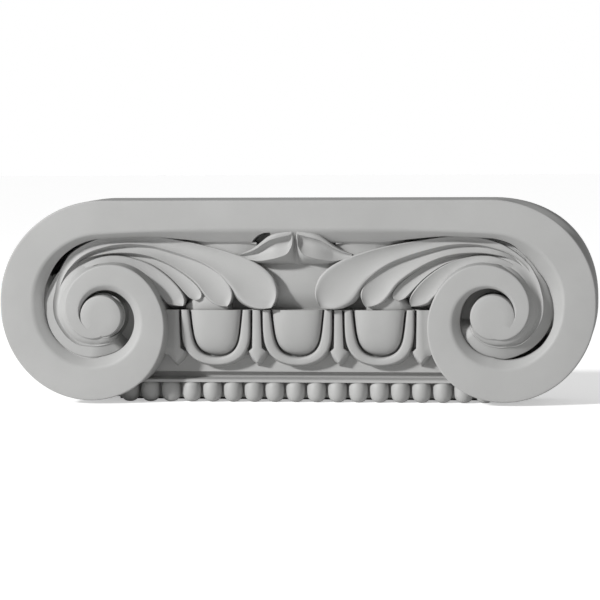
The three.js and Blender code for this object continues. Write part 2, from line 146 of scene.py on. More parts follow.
# Solids are pairs of corners and faces, in millimetres: across, behind the face, up
def loft(rings):
    """Solid through rings of corners, closed at both ends."""
    rings = np.array(rings, float)
    count = rings.shape[1]
    corners = rings.reshape(-1, 3)
    faces = []
    for i in range(len(rings) - 1):
        for j in range(count):
            a = i * count + j
            b = i * count + (j + 1) % count
            faces.append((a, b, b + count, a + count))
    ends = np.array([rings[0].mean(axis=0), rings[-1].mean(axis=0)])
    start = len(corners)
    last = (len(rings) - 1) * count
    for j in range(count):
        after = (j + 1) % count
        faces.append((after, j, start))
        faces.append((last + j, last + after, start + 1))
    return facing_out(np.vstack([corners, ends]), faces)


def facing_out(corners, faces):
    """Turns the faces outward where they look in."""
    volume = 0.0
    for face in faces:
        a = corners[face[0]]
        for i in range(1, len(face) - 1):
            volume += a @ np.cross(corners[face[i]], corners[face[i + 1]])
    if volume < 0:
        faces = [face[::-1] for face in faces]
    return corners, faces


def together(solids):
    corners = []
    faces = []
    start = 0
    for points, sides in solids:
        corners.append(points)
        faces += [tuple(start + i for i in face) for face in sides]
        start += len(points)
    return np.vstack(corners), faces


def mirrored(solid):
    corners, faces = solid
    return corners * (-1, 1, 1), [face[::-1] for face in faces]


def both_sides(solid):
    return together([solid, mirrored(solid)])


def extruded(profile, half_length):
    """A profile of depth and height, pushed along the front to both sides of the middle."""
    profile = np.array(profile, float)
    rings = []
    for x in (-half_length, half_length):
        rings.append(np.column_stack([np.full(len(profile), x), profile[:, 0], profile[:, 1]]))
    count = len(profile)
    corners = np.vstack(rings)
    faces = [(j, (j + 1) % count, count + (j + 1) % count, count + j) for j in range(count)]
    faces += [tuple(range(count))[::-1], tuple(range(count, 2 * count))]
    return facing_out(corners, faces)


def spline(points, count):
    """Evenly spaced points on a smooth curve through a few given ones."""
    points = np.array(points, float)
    ends = np.vstack([2 * points[0] - points[1], points, 2 * points[-1] - points[-2]])
    dense = []
    for i in range(1, len(ends) - 2):
        a, b, c, d = ends[i - 1:i + 3]
        for t in np.linspace(0, 1, 24, endpoint=False):
            dense.append(0.5 * (2 * b + (c - a) * t + (2 * a - 5 * b + 4 * c - d) * t ** 2
                                + (3 * b - 3 * c + d - a) * t ** 3))
    dense = np.array(dense + [points[-1]])
    lengths = np.concatenate([[0], np.cumsum(np.linalg.norm(np.diff(dense, axis=0), axis=1))])
    wanted = np.linspace(0, lengths[-1], count)
    return np.column_stack([np.interp(wanted, lengths, dense[:, k]) for k in range(dense.shape[1])])


def along(values, share):
    """Value at a share of the way through a short list, smoothly."""
    places = np.linspace(0, 1, len(values))
    return float(spline(np.column_stack([places, values]), 200)[int(round(share * 199)), 1])


# Spiral of the band's outer edge. Turns are counted in quarters from the top, going outward.
SHOULDER_X = WIDTH / 2 - SHOULDER_WIDTH
SHOULDER_Z = HEIGHT - SHOULDER_HEIGHT
SPIRAL_START = 1 - math.atan2(SHOULDER_Z - EYE_Z, WIDTH / 2 - EYE_X) / (math.pi / 2)


def shoulder_radius(quarters):
    """Distance from the eye's middle to the rounded shoulder."""
    angle = quarters * math.pi / 2
    across = math.sin(angle) / SHOULDER_WIDTH
    upward = math.cos(angle) / SHOULDER_HEIGHT
    start_x = (EYE_X - SHOULDER_X) / SHOULDER_WIDTH
    start_z = (EYE_Z - SHOULDER_Z) / SHOULDER_HEIGHT
    a = across ** 2 + upward ** 2
    b = across * start_x + upward * start_z
    c = start_x ** 2 + start_z ** 2 - 1
    return (math.sqrt(b * b - a * c) - b) / a


RADIUS_AT_START = shoulder_radius(SPIRAL_START)
FOOT_DROP = RADIUS_AT_START - (EYE_Z - VOLUTE_CLEARANCE)
EYE_DROP = RADIUS_AT_START - (EYE_RADIUS - BAND_TUCK)
FOOT_SPAN = 2 - SPIRAL_START
EYE_SPAN = 6 - SPIRAL_START
SPIRAL_EASE = (FOOT_DROP / FOOT_SPAN - EYE_DROP / EYE_SPAN) / (EYE_SPAN - FOOT_SPAN)
SPIRAL_PITCH = FOOT_DROP / FOOT_SPAN + SPIRAL_EASE * FOOT_SPAN


def tightening(quarters):
    """How much narrower the band is at the inner side of a volute."""
    return INNER_SIDE_CUT * (smooth(quarters, 2.2, 2.9) - smooth(quarters, 3.1, 3.8))


def outer_radius(quarters):
    if quarters <= SPIRAL_START:
        return shoulder_radius(quarters)
    span = quarters - SPIRAL_START
    return RADIUS_AT_START - SPIRAL_PITCH * span + SPIRAL_EASE * span * span - tightening(quarters)


BAND_END_WIDTH = outer_radius(5) - EYE_RADIUS


def face_width(quarters):
    if quarters <= 2:
        return VOLUTE_BAND_WIDTH
    return mix(VOLUTE_BAND_WIDTH, BAND_END_WIDTH, (quarters - 2) / 3) - tightening(quarters)


def inner_radius(quarters):
    return outer_radius(quarters) - face_width(quarters)


def canal_core(quarters):
    """Radius of what the canal winds round: the next turn of the band, or the eye."""
    following = quarters + 4
    return max(outer_radius(following), EYE_RADIUS) if following < 6 else EYE_RADIUS


def canal_width(quarters):
    quarters = max(quarters, 0)
    return max(inner_radius(quarters) - canal_core(quarters), 0.1)


# Quarter-turns to which the band goes through to the back, and between which the canal runs
BACK_TURNS = 3.2
CANAL_START = -0.4
CANAL_END = 4.85

# The carving differs a little between the volutes: left is -1 and right is 1.
# Run of the splay inside the band, by quarter-turns
SPLAY_RUNS = {
    -1: [(-0.4, 2.6), (0, 2.8), (0.22, 3.6), (0.42, 4.6), (0.6, 5.6), (0.85, 5.8), (1.1, 5.6),
         (1.5, 5.7), (2, 5.4), (2.4, 4.6), (3.1, 4), (3.5, 3.6), (4, 2.7), (4.5, 1.6), (5, 0.4)],
    1: [(-0.4, 2.6), (0, 2.8), (0.15, 4), (0.3, 6.6), (0.5, 8), (0.75, 6.6), (0.95, 4.6),
        (1.1, 3.6), (1.35, 3.2), (1.6, 4), (2, 5.4), (2.6, 4.6), (3.1, 4), (3.5, 2.4), (4, 1.4),
        (4.5, 1), (5, 0.4)],
}
# Depth of the splay's foot, as a share of that of a plain one
SPLAY_STEEPNESS = {
    -1: [(0, 0.9), (0.5, 0.8), (0.9, 0.46), (1.3, 0.55), (1.8, 0.78)],
    1: [(0, 1.2), (0.8, 1.2), (1.1, 1), (1.6, 0.8)],
}
# Width of the slot between the splay's foot and the leaf or stem
SLOT_WIDTHS = {
    -1: [(-0.4, 1.4), (-0.2, 1.6), (0.02, 2.4), (0.19, 3.4), (0.36, 4), (0.5, 3.6), (0.68, 1.8),
         (0.8, 0.4), (6, 0.3)],
    1: [(-0.4, 1), (0.1, 1), (0.3, 0.8), (0.9, 0.8), (1.1, 1.8), (1.35, 2.8), (1.6, 2.2),
        (1.85, 0.4), (6, 0.3)],
}
# Share of the slot's full depth
SLOT_SHARES = {
    -1: [(-0.4, 1), (0.5, 1), (0.7, 0), (6, 0)],
    1: [(-0.4, 1), (0.08, 1), (0.22, 0), (0.95, 0), (1.2, 1), (1.7, 1), (1.95, 0), (6, 0)],
}
# Quarter-turns between which the slot opens again towards the eye
SLOT_RESUMES = {-1: (2.2, 2.5), 1: (2.6, 3.0)}
# Quarter-turns between which the slot is cut deeper still
DEEP_SLOT = {-1: (-0.3, 0.62), 1: (1.15, 1.8)}
# Quarter-turns between which the undercut behind the splay's foot ends
UNDERCUT_STOPS = {-1: (0.6, 0.8), 1: (0.1, 0.35)}
# Distances from the middle between which it begins
UNDERCUT_STARTS = (45, 62)
# Run of the splay under the straight band, by distance from the middle
STRAIGHT_RUNS = [(0, 7), (45, 7), (62, 5), (80, 2.9), (108.5, 2.8)]


def wall_run(quarters, side):
    """Run of the splay inside the band, narrower where the canal is narrow."""
    return min(read_off(quarters, SPLAY_RUNS[side]), 0.75 * canal_width(quarters))


def on_volute(quarters, radius, behind):
    """A point of the right volute from its turn, radius and depth."""
    angle = quarters * math.pi / 2
    return (EYE_X + radius * math.sin(angle), behind, EYE_Z + radius * math.cos(angle))


def side_cove(quarters):
    """Depth of the hollow in the band's outer side."""
    return SIDE_COVE * (smooth(quarters, 0, 0.5) - smooth(quarters, 1.9, 2.4))


# Band
def quarter_round(corner, start, end, count):
    """Points that round a corner off between two places near it."""
    corner, start, end = [np.array(p, float) for p in (corner, start, end)]
    t = np.linspace(0, 1, count)[:, None]
    return ((1 - t) ** 2 * start + 2 * t * (1 - t) * corner + t ** 2 * end).tolist()


# Shares of the side's depth between which its hollow rises to the roll behind it
ROLL_SHARES = (0.56, 0.72)


def outer_side(quarters):
    """Section of the band's outer side: rounded edge, hollow, roll and small bevel at the back."""
    back = DEPTH if quarters <= BACK_TURNS else FILL_BACK
    cove = side_cove(quarters)
    draft = RETURN_DRAFT * smooth(quarters, 2, 2.6)
    swell = REAR_SHOULDER * math.sin(math.pi * min(max(quarters / SPIRAL_START, 0), 1)) ** 2
    rim_start = back - REAR_RIM
    side = quarter_round((0, 0), (OUTER_ROUND, 0), (0, OUTER_ROUND), 6)
    side.append([0, FRONT_RIM - 0.3])
    for share in np.linspace(0, 1, 20)[1:-1]:
        behind = mix(FRONT_RIM, rim_start, share)
        roll = smooth(share, *ROLL_SHARES)
        hollow = cove * (smooth(share, 0, 0.1) - roll)
        side.append([hollow - swell * roll - draft * behind / back, behind])
    side.append([-swell - draft * rim_start / back, rim_start])
    side.append([-swell - draft, back - BACK_CHAMFER])
    side.append([-swell - draft + 0.5, back])
    return side


def band_section(quarters, wide, run, steepness, undercut, put):
    """The band's closed section, set in place by put from distance inward and depth."""
    side = outer_side(quarters)
    back = side[-1][1]
    foot = wide + run
    deep = min(SPLAY_DEPTH, SPLAY_SLOPE * run + 0.2) * steepness
    soft = INNER_ROUND * min(1, run / 2 + 0.2)
    start = (wide + run * 0.22, deep * 0.22)
    hidden = foot + 0.3 - undercut
    section = side + [[hidden, back], [hidden, deep + 1.2 + undercut], [foot + 0.15, deep + 0.5]]
    section += [[mix(wide, foot, 0.9), deep * 0.93], [mix(wide, foot, 0.55), deep * 0.57]]
    section += quarter_round((wide, 0), start, (wide - soft, 0), 9)
    return [put(inward, behind) for inward, behind in section]


def band_half(side):
    """Sections from the middle to a volute's eye, built on the right, inside the solid's box."""
    half = []
    for share in np.linspace(0, 1, 20, endpoint=False):
        x = share * EYE_X
        wide = mix(BAND_HEIGHT, VOLUTE_BAND_WIDTH, share ** 4)
        run = read_off(x, STRAIGHT_RUNS)
        undercut = UNDERCUT * smooth(x, *UNDERCUT_STARTS)
        half.append(band_section(
            0, wide, run, 1, undercut, lambda inward, behind: (x, behind, HEIGHT - inward)))
    for quarters in np.linspace(0, 6, 6 * BAND_STEPS + 1):
        outer = outer_radius(quarters)
        steepness = mix(1, read_off(quarters, SPLAY_STEEPNESS[side]), smooth(quarters, 0.1, 0.5))
        undercut = UNDERCUT * (1 - smooth(quarters, *UNDERCUT_STOPS[side]))
        half.append(band_section(
            quarters, face_width(quarters), wall_run(quarters, side), steepness, undercut,
            lambda inward, behind: on_volute(quarters, max(outer - inward, 1), behind)))
    return np.minimum(half, (WIDTH / 2, DEPTH, HEIGHT))


def band():
    left = band_half(-1)[1:][::-1] * (-1, 1, 1)
    return loft(np.vstack([left, band_half(1)]))


def eye(radius):
    profile = [(6, 0.0), (radius - 1.2, 0.0), (radius - 0.35, 0.3), (radius, 1.1),
               (radius + 0.2, 14), (radius + 0.2, DEPTH - 2)]
    around = np.linspace(0, 2 * math.pi, 96, endpoint=False)
    return loft([[(EYE_X + r * math.cos(turn), behind, EYE_Z + r * math.sin(turn)) for turn in around]
                 for r, behind in profile])


# Canal
# Radius and depth of the stem's two crests, by quarter-turns
OUTER_CREST = [(-0.4, 42.5), (0, 42.2), (0.19, 40), (0.33, 35.5), (0.5, 32.5), (0.69, 29.7), (1, 26.9),
               (1.22, 24.1), (1.5, 21.4), (1.72, 18.3), (2, 16.4), (2.55, 14.4), (3, 14)]
OUTER_CREST_DEPTH = [(-0.4, 15), (0, 12), (0.2, 9.8), (0.35, 8.6), (0.5, 7.6), (0.69, 6.8), (1, 5.8),
                     (1.5, 4.8), (2, 4.2), (2.55, 4), (3, 10)]
INNER_CREST = [(-0.4, 29.5), (0, 29.8), (0.3, 27.8), (0.55, 25.5), (1, 22.8), (1.5, 18.6), (1.83, 15.7),
               (2, 15), (2.55, 13.4), (3, 13)]
INNER_CREST_DEPTH = [(-0.4, 15), (0, 12), (0.2, 9), (0.35, 7), (0.55, 5), (1, 3.2), (1.5, 2.8), (2, 2.6),
                     (2.55, 3), (3, 10)]

# How much further out the outer crest lies on either volute
CREST_SHIFTS = {
    -1: [(-0.4, 2.4), (0.33, 2.4), (0.5, 1.6), (0.7, 0.3), (1, 0)],
    1: [(0, 0), (1, 0)],
}


def canal_floor(side):
    """Floor and stem of one volute's canal, built on the right."""
    rings = []
    for quarters in np.linspace(CANAL_START, CANAL_END, 210):
        core = canal_core(quarters)
        wall = inner_radius(max(quarters, 0))
        slot = smooth(quarters, *SLOT_RESUMES[side])
        leaf_slot = read_off(quarters, SLOT_SHARES[side])
        foot = max(wall - wall_run(quarters, side), core + 0.9)
        gap = mix(read_off(quarters, SLOT_WIDTHS[side]), 0.3, slot)
        edge = max(foot - gap, core + 0.8)
        crest = read_off(quarters, OUTER_CREST) + read_off(quarters, CREST_SHIFTS[side])
        outer = min(crest, edge - 0.9)
        inner = min(max(read_off(quarters, INNER_CREST), core + 0.5), outer - 0.8)
        shallow = (smooth(quarters, 0.55, 0.9) - smooth(quarters, 1.8, 2.3)) * (side < 0)
        crest_depth = read_off(quarters, OUTER_CREST_DEPTH) - LEFT_RISE * shallow
        fall = mix(0.42, 0.1, shallow)
        level = max(crest_depth, min(crest_depth + fall * max(edge - outer, 0), CANAL_DEPTH))
        low = mix(level + 0.6, SLOT_DEPTH, max(slot, leaf_slot))
        inner_depth = mix(read_off(quarters, INNER_CREST_DEPTH), low, slot)
        outer_depth = mix(crest_depth, low, slot)
        steepness = mix(0.65, 0.35, smooth(quarters, 0.9, 1.4))
        sloping = steepness * (edge - outer) * (1 - smooth(quarters, 1.4, 1.9)) * (side > 0)
        low = max(low, level + sloping + 0.6)
        edge_depth = mix(min(level + sloping, low - 0.5), low - SLOT_LIP, slot)
        collar = mix(inner_depth * 0.4, inner_depth, smooth(quarters, 0.4, -0.1))
        floor = [(core - 2, collar), (core + 0.1, collar), (core + 0.3, mix(collar + 0.3, low, slot))]
        for share in (0.35, 0.7, 0.92):
            floor.append((mix(core + 0.3, inner, share), mix(collar + 0.3, inner_depth, share ** 1.4)))
        floor.append((inner, inner_depth + 0.1))
        for share in (0.06, 0.2, 0.36, 0.52, 0.68, 0.84, 0.95):
            dish = STEM_DISH * math.sin(math.pi * share) * min(1, (outer - inner) / 3)
            floor.append((mix(inner, outer, share), mix(inner_depth, outer_depth, share) + dish))
        floor.append((outer, outer_depth))
        for share in (0.05, 0.2, 0.4, 0.6, 0.8, 0.95):
            floor.append((mix(outer, edge, share), mix(outer_depth + 0.5, edge_depth, share ** 0.8)))
        floor += [(edge + 0.05, min(edge_depth + 0.8, low - 0.2)), (edge + 0.15, low)]
        floor += [(foot + 4.5, low + 0.5), (wall + 2.5, FILL_BACK), (core - 2, FILL_BACK)]
        rings.append([on_volute(quarters, radius, behind) for radius, behind in floor])
    return loft(rings)


def volute_core():
    """Solid back of a volute, behind its canal and inside its hollowed side."""
    half = EYE_X - outer_radius(3) + 3
    outline = []
    for quarters in np.linspace(0, 3, 60):
        x, _, z = on_volute(quarters, outer_radius(quarters) - SIDE_COVE - CORE_COVER, 0)
        outline.append((x, z))
    outline += [(half, EYE_Z), (half, HEIGHT - BAND_HEIGHT)]
    rings = [[(x, behind, z) for x, z in outline] for behind in (BELL_DEPTH, DEPTH)]
    return loft(rings)


# Body and plain mouldings
BODY_HALF = EYE_X - outer_radius(3) + 6


def arc(start, end, hollow, count, power=1.0):
    """Quarter of an ellipse between two points of a profile, hollow or full."""
    points = []
    for turn in np.linspace(0, math.pi / 2, count):
        if hollow:
            points.append((mix(start[0], end[0], math.sin(turn)),
                           mix(end[1], start[1], math.cos(turn) ** power)))
        else:
            points.append((mix(end[0], start[0], math.cos(turn)),
                           mix(start[1], end[1], math.sin(turn) ** power)))
    return points


def body():
    profile = [(DEPTH, GROUND_TOP - 1), (DEPTH, HEIGHT - BAND_HEIGHT / 2),
               (FILL_BACK, HEIGHT - BAND_HEIGHT / 2), (FILL_BACK, OVOLO_TOP), (BED, OVOLO_TOP)]
    profile += arc((BED, OVOLO_TOP - 2), (GROUND_FRONT, GROUND_TOP), False, 10, 1.4)
    profile.append((GROUND_FRONT, GROUND_TOP - 1))
    return extruded(profile, BODY_HALF)


def ledge():
    """Flat top of the ovolo, which the egg row is cut off at."""
    profile = [(LEDGE_BACK, OVOLO_TOP - 3), (LEDGE_BACK, OVOLO_TOP), (OVOLO_FRONT + 1.5, OVOLO_TOP),
               (OVOLO_FRONT + 1.5, OVOLO_TOP - 0.6), (BED + 1, OVOLO_TOP - 3)]
    return extruded(profile, BODY_HALF)


# Height and depth of the bell's front
BELL_TOP = 84
BELL_LEVELS = [(OVOLO_TOP - 1, 18.5), (53, 17.6), (56.5, 15), (62, 12.7), (69, 12.2), (76, 12.7),
               (79, 13.1), (BELL_TOP, 14)]
BELL_HALF = 26
BELL_ROUND = 2.5


def bell():
    """Drum that shows between the two half leaves, fuller in the middle and drawn in at its foot."""
    rings = []
    for x in np.linspace(-BELL_HALF, BELL_HALF, 25):
        round_off = BELL_ROUND * (1 - math.cos(x / BELL_HALF * math.pi / 2))
        ring = [(x, behind + round_off, z) for z, behind in BELL_LEVELS]
        rings.append(ring + [(x, DEPTH - 4, BELL_TOP), (x, DEPTH - 4, OVOLO_TOP - 1)])
    return loft(rings)


# Distance from the middle, height and depth of the lump under the blades' tips
TIP_GROUND = [(37.5, 54, 15), (39, 58, 11.5), (44, 61, 10.3), (52, 62, 10.3), (57, 60.5, 10.8),
              (59.5, 58, 12.4), (63, 54.5, 15.5)]


def tip_ground():
    """Lump that the tips of the smaller blades rest on."""
    rings = []
    for x, top, front in TIP_GROUND:
        rings.append([(x, front + 1.2, OVOLO_TOP - 1), (x, front, OVOLO_TOP + 1),
                      (x, front + 0.2, mix(53, top, 0.6)), (x, front + 2.5, top),
                      (x, LEDGE_BACK, top), (x, LEDGE_BACK, OVOLO_TOP - 1)])
    return loft(rings)


# Distance from the middle, lower and upper end and depth of the web
WEB = [(22, 81, 88.2, 11), (27, 80, 89, 9.8), (34, 78, 89.2, 8.8), (44, 80, 89.4, 9.2),
       (52, 82, 90, 11), (60, 84, 91, 15)]


def web():
    """Field under the band, between the central leaf and a half leaf."""
    rings = []
    for x, low, top, front in WEB:
        meeting = min(front, SPLAY_DEPTH + 0.9)
        rings.append([(x, front + 1, low), (x, front, mix(low, top, 0.6)),
                      (x, mix(front, meeting, 0.4), top - 0.7), (x, meeting, top + 0.3),
                      (x, meeting, top + 1.2), (x, WEB_BACK, top + 1.2), (x, WEB_BACK, low)])
    return loft(rings)


def lower_mouldings():
    """Cove and fillet under the egg row."""
    profile = [(DEPTH, FILLET_BOTTOM - 1), (DEPTH, GROUND_TOP), (GROUND_FRONT, GROUND_TOP)]
    profile += arc((GROUND_FRONT, GROUND_BOTTOM), (COVE_BACK, COVE_BOTTOM), True, 10)
    profile += [(FILLET_FRONT + 0.5, FILLET_TOP + 0.35), (FILLET_FRONT, FILLET_TOP)]
    profile += [(FILLET_FRONT, FILLET_BOTTOM), (COVE_BACK, FILLET_BOTTOM - 1)]
    return extruded(profile, COVE_HALF)


def neck():
    """Flat ground of the bead row, and the strip behind it that the capital stands on."""
    profile = [(NECK_FRONT, NECK_BOTTOM), (NECK_FRONT, FILLET_BOTTOM + 0.4),
               (DEPTH, FILLET_BOTTOM + 0.4), (DEPTH, 0), (BEARING_FRONT, 0),
               (BEARING_FRONT - 1, NECK_BOTTOM)]
    return extruded(profile, NECK_HALF)


# Half-width of a bead by height
BEAD_PROFILE = [(0, 0.8), (0.3, 2.2), (1.0, 3.5), (2.2, 4.5), (4, 5.15), (6, 5.38), (7.8, 5.38),
                (9.4, 5.2), (10.6, 4.8), (11.3, 4.2)]


def beads():
    row = []
    around = np.linspace(0, 2 * math.pi, 32, endpoint=False)
    outline = spline(BEAD_PROFILE, 20)
    for i in range(BEAD_COUNT):
        x = (i - (BEAD_COUNT - 1) / 2) * BEAD_PITCH + BEAD_ROW_SHIFT
        rings = [[(x + out * math.cos(turn), BEAD_AXIS + out * 1.05 * math.sin(turn), z)
                  for turn in around] for z, out in outline]
        row.append(loft(rings))
    return together(row)


# Eggs, shells and darts
def egg_outline(share):
    """Half-width of an egg, as a share of the full one, by the share of its drop."""
    return (1 - 0.2 * share) * math.sqrt(max(0, 1 - share ** 6))


def ovolo_lean(z):
    """How far the ovolo's front has drawn back at a height."""
    share = min(max((OVOLO_TOP - z) / (OVOLO_TOP - GROUND_TOP), 0), 1)
    return (1 - math.sqrt(1 - share * share * 0.96)) * (GROUND_FRONT - OVOLO_FRONT + 1.5)


def egg(x):
    rings = []
    for level in np.linspace(0, 1, 34):
        share = math.sin(level * math.pi / 2)
        z = OVOLO_TOP - EGG_DROP * share
        keep = max(egg_outline(share), 0.03)
        front = EGG_FRONT + 3.2 * share ** 2.4 + 6.8 * (1 - math.sqrt(max(0, 1 - share ** 5)))
        ring = []
        for across in np.linspace(-1, 1, 33):
            round_off = 1 - math.sqrt(1 - 0.98 * abs(across) ** 2.6)
            ring.append((x + EGG_HALF * keep * across, front + 4.6 * keep * round_off, z))
        ring.append((x + EGG_HALF * keep, EGG_BACK, z))
        ring.append((x - EGG_HALF * keep, EGG_BACK, z))
        rings.append(ring)
    return loft(rings)


def shell(x):
    """Rounded rim that runs down one side of an egg, under it and up the other side."""
    inner_half = EGG_HALF + CREVICE
    inner_drop = EGG_DROP + CREVICE * 0.9
    shares = [math.sin(turn) ** 0.9 for turn in np.linspace(0, math.pi / 2, 44)]

    def ring(side, share):
        x_in = inner_half * egg_outline(share)
        x_out = SHELL_HALF * math.sqrt(max(0, 1 - share ** 4.6))
        z_in = OVOLO_TOP - inner_drop * share
        z_out = OVOLO_TOP - SHELL_DROP * share
        front = SHELL_FRONT + ovolo_lean(z_in)
        spread = 2.2 * smooth(share, 0.5, 0.95) * min(1, x_out / 8)
        section = [(x_in, EGG_BACK, z_in), (x_in, front + 3.2, z_in)]
        for step in np.linspace(0.03, 0.97, 13):
            off = abs(2 * step - 1)
            behind = front + 0.45 * off ** 2 + 1.1 * off ** 9
            section.append((mix(x_in, x_out, step), behind, mix(z_in, z_out, step)))
        section.append((x_out, front + 3.4, z_out))
        section.append((x_out + spread, EGG_BACK, z_out - SHELL_UNDERSIDE * share ** 3))
        return [(x + side * out, behind, z) for out, behind, z in section]

    left = [ring(-1, share) for share in shares]
    right = [ring(1, share) for share in shares[:-1][::-1]]
    return loft(left + right)


# Height, half-width, depth of the ridge, fall to the side and half-width on the ground
DART_LEVELS = [
    (51.9, 2.05, 10.2, 0.6, 2.1),
    (36, 2.4, 11.0, 0.6, 2.4),
    (30.6, 2.6, 11.5, 0.6, 2.8),
    (29.8, 3.4, 11.6, 0.9, 4.4),
    (28.8, 4.7, 11.8, 1.3, 6.6),
    (26.2, 3.4, 12.1, 1.2, 7.0),
    (22.9, 0.5, 12.7, 0.3, 5.2),
    (20.2, 0.2, 18.6, 0.1, 0.9),
]


def dart(x, widened=0):
    """A dart, or at the ends of the row one that runs out to the volute on one side."""
    rings = []
    for z, half, ridge, fall, foot in DART_LEVELS:
        reach = DART_REACH * smooth(z, 26, 30)
        ring = [(x - foot - reach * (widened < 0), EGG_BACK, z)]
        for step in np.linspace(-1, 1, 9):
            out = half * step + reach * widened * (step * widened > 0.8)
            ring.append((x + out, ridge + fall * abs(step) ** 2.5, z))
        ring.append((x + foot + reach * (widened > 0), EGG_BACK, z))
        rings.append(ring)
    return loft(rings)


# Leaves
def lobe(outer, inner, depths, dish, tuck, side, steps=80):
    """Blade between two edges from root to tip, high along its inner edge and sloping off beyond it."""
    a_line = spline(outer, steps)
    b_line = spline(inner, steps)
    shares = np.concatenate([[0, 0.02, 0.06], np.linspace(0.12, 0.88, 17), [0.94, 0.98, 1]])
    rings = []
    for i in range(steps):
        share_along = i / (steps - 1)
        a, b = a_line[i], b_line[i]
        spread = np.linalg.norm(b - a)
        across = (b - a) / max(spread, 0.01)
        behind = along(depths, share_along)
        sag = dish * min(1, spread / 8)
        under = tuck * smooth(share_along, 1, 0.6)
        ring = []
        for share in shares:
            spot = a + across * spread * share
            hollow = sag * (1 - (2 * share - 1) ** 2)
            tucked = under * (1 - share) ** 2
            edge = 0.9 * max(0, 1 - min(share, 1 - share) / 0.06) ** 2 * min(1, spread / 6)
            ring.append((spot[0], behind + hollow + tucked + edge, spot[1]))
        slope = along(side, share_along)
        for share in (0.3, 0.7, 1):
            low = b + across * slope * share
            ring.append((low[0], behind + 1.5 + 3.5 * share, low[1]))
        low = b + across * (slope + 0.3)
        high = a - across * 0.5
        ring += [(low[0], LEAF_BACK, low[1]), (high[0], LEAF_BACK, high[1])]
        rings.append(ring)
    return loft(rings)


# Edges from root to tip, depths along them, dish, tuck of the outer edge, and width of the
# slope beyond the inner one
BLADES = [
    dict(outer=[(135.1, 62.9), (132.8, 69.6), (129.8, 74.6), (125.8, 79.7), (121.2, 83.6), (115.5, 87.2),
                (109.7, 89.8), (102.9, 91.6), (95.6, 92.4), (88.2, 92.6), (81.4, 92.4), (74.7, 91.6),
                (67.4, 90.4), (59, 89), (50.5, 87.4), (42.2, 85.5), (33.8, 82.9), (27.1, 80.5), (21.5, 77.6),
                (17.1, 74.6), (13.2, 70.4), (11.2, 66), (10.5, 61.6), (11.5, 57.2), (13.8, 53.4)],
         inner=[(132.8, 64.6), (129.3, 71.8), (125.8, 76.3), (121.2, 80.5), (115.5, 83.9), (109.8, 85.8),
                (103, 87.5), (95.6, 88.3), (88.3, 88.1), (81.5, 87.2), (74.7, 85.6), (67.4, 83.6),
                (59, 80.8), (53.4, 78.5), (47.8, 75.4), (42.2, 71.2), (37.8, 66.8), (35, 62.9),
                (32.8, 59.4), (29.4, 56.1), (24.4, 53.6), (18.8, 52.8), (13.8, 53.4)],
         depths=[8.8, 8.2, 8.2, 8, 8.2, 8.2, 6.5, 4.8], dish=1.6, tuck=0,
         side=[0.6, 1, 2.6, 3.2, 1.4, 0.8]),
    dict(outer=[(129.5, 71.8), (126, 76.3), (121.4, 80.5), (115.6, 84.1), (109.9, 86.2), (103.1, 87.9),
                (95.7, 88.8), (88.4, 88.6), (81.6, 87.8), (74.9, 86.1), (67.5, 84.2), (59.1, 81.4),
                (53.5, 79.2), (47.9, 76.2), (42.3, 72), (37.9, 67), (35.9, 62.6), (35.9, 58.8),
                (37.3, 55.4), (38.4, 54.1)],
         inner=[(129.5, 70.1), (126, 74.6), (121.4, 78.2), (115.7, 81), (110, 82.4), (103.1, 83.3),
                (95.8, 83.4), (88.4, 82.8), (81.7, 81.4), (76, 79.4), (70.4, 76.8), (64.8, 73.5),
                (59.2, 69.5), (55.3, 65.9), (52.5, 62), (50.2, 59), (46.9, 56), (42.4, 54.2),
                (38.4, 54.1)],
         depths=[9.6, 8.8, 8.8, 9, 9.2, 9, 7.6, 6.2], dish=1.6, tuck=2.6,
         side=[0.6, 0.9, 1.4, 1.6, 1, 0.8]),
    dict(outer=[(102, 82.6), (96.2, 82.8), (88.8, 82.1), (82, 80.7), (76.4, 78.8), (70.7, 76),
                (65.1, 72.7), (59.5, 68.8), (55.6, 65.2), (53, 61.4), (53.6, 58.3), (56.6, 57.2)],
         inner=[(102, 82.3), (96.2, 81.7), (88.8, 79.6), (82, 77.1), (76.4, 73.8), (70.7, 69.4),
                (66.2, 64.9), (62.9, 61.3), (60, 58.6), (56.6, 57.2)],
         depths=[14, 10.6, 10, 9.8, 9.4, 8.6], dish=1, tuck=1, side=[0.6, 0.8, 0.8, 0.8, 0.6]),
    dict(outer=[(127.4, 68.4), (124.5, 72.9), (120.5, 76.5), (114.8, 79.6), (107.9, 81.6), (101.7, 82),
                (96, 81.4), (88.7, 79.6), (81.9, 76.9), (76.3, 73.5), (70.7, 69.1), (66.2, 64.4),
                (63.4, 60.2), (62.6, 56.9), (63.4, 54.2)],
         inner=[(124.6, 66.2), (121.7, 70.7), (117.7, 74.3), (112.5, 76.8), (106.8, 77.7), (101.2, 77.1),
                (95.5, 75.5), (90.4, 73), (85.9, 69.4), (82, 65.8), (78.1, 61.6), (74.7, 58),
                (72.4, 55.8), (67.9, 54.4), (63.4, 54.2)],
         depths=[7.5, 7.8, 8.4, 9, 9.2, 9, 8.4, 7.6], dish=1.4, tuck=1.6,
         side=[0.5, 0.8, 2.2, 2.6, 1.2, 0.8]),
]


# Distance from the middle, height of the leaf's top and of its lower rim
CENTRAL_OUTLINE = [(-0.3, 95.2, 92.6), (0.7, 95.6, 91.6), (1.6, 95.9, 88.4), (3, 95.9, 85.2),
                   (5, 95.8, 83), (9.5, 94.9, 81.3), (14, 93.4, 80.3), (18, 90.6, 79.6), (21.5, 87.8, 79.4),
                   (26, 85.1, 80), (31, 83, 81.2)]
CENTRAL_FOOT = 77.2


